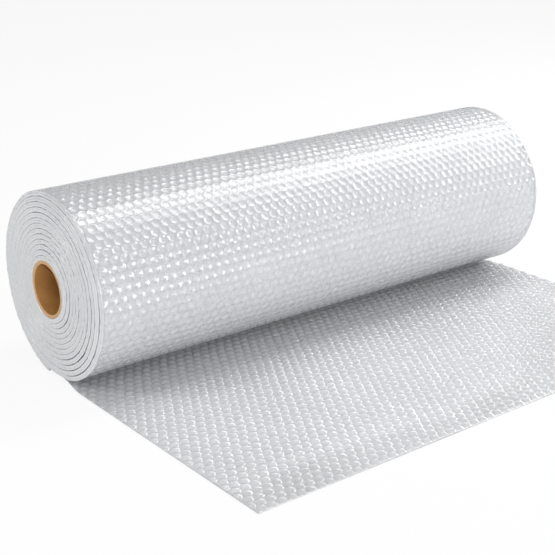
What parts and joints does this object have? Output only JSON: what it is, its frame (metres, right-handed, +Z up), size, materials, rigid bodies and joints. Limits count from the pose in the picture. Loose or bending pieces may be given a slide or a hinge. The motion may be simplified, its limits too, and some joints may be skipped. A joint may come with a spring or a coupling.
{
  "type": "bubble wrap roll",
  "caption": "Roll of small-bubble film wound on a cardboard core, lying on its side with its loose end pulled out flat.",
  "frame": {"origin": "on the floor under the roll, straight below the middle of the core's axis", "axes": "+X along the core, -Y the way the loose end is pulled out, +Z up"},
  "size_m": [0.608, 0.4273, 0.191],
  "materials": {
    "kraft_board": "brown kraft paperboard, matt, spirally wound",
    "bubble_film": "clear air-bubble polyethylene film, glossy, looks milky white in many layers"
  },
  "bodies": {
    "root": {"cardboard_core": "kraft_board", "bubble_wrap": "bubble_film"}
  },
  "joints": []
}
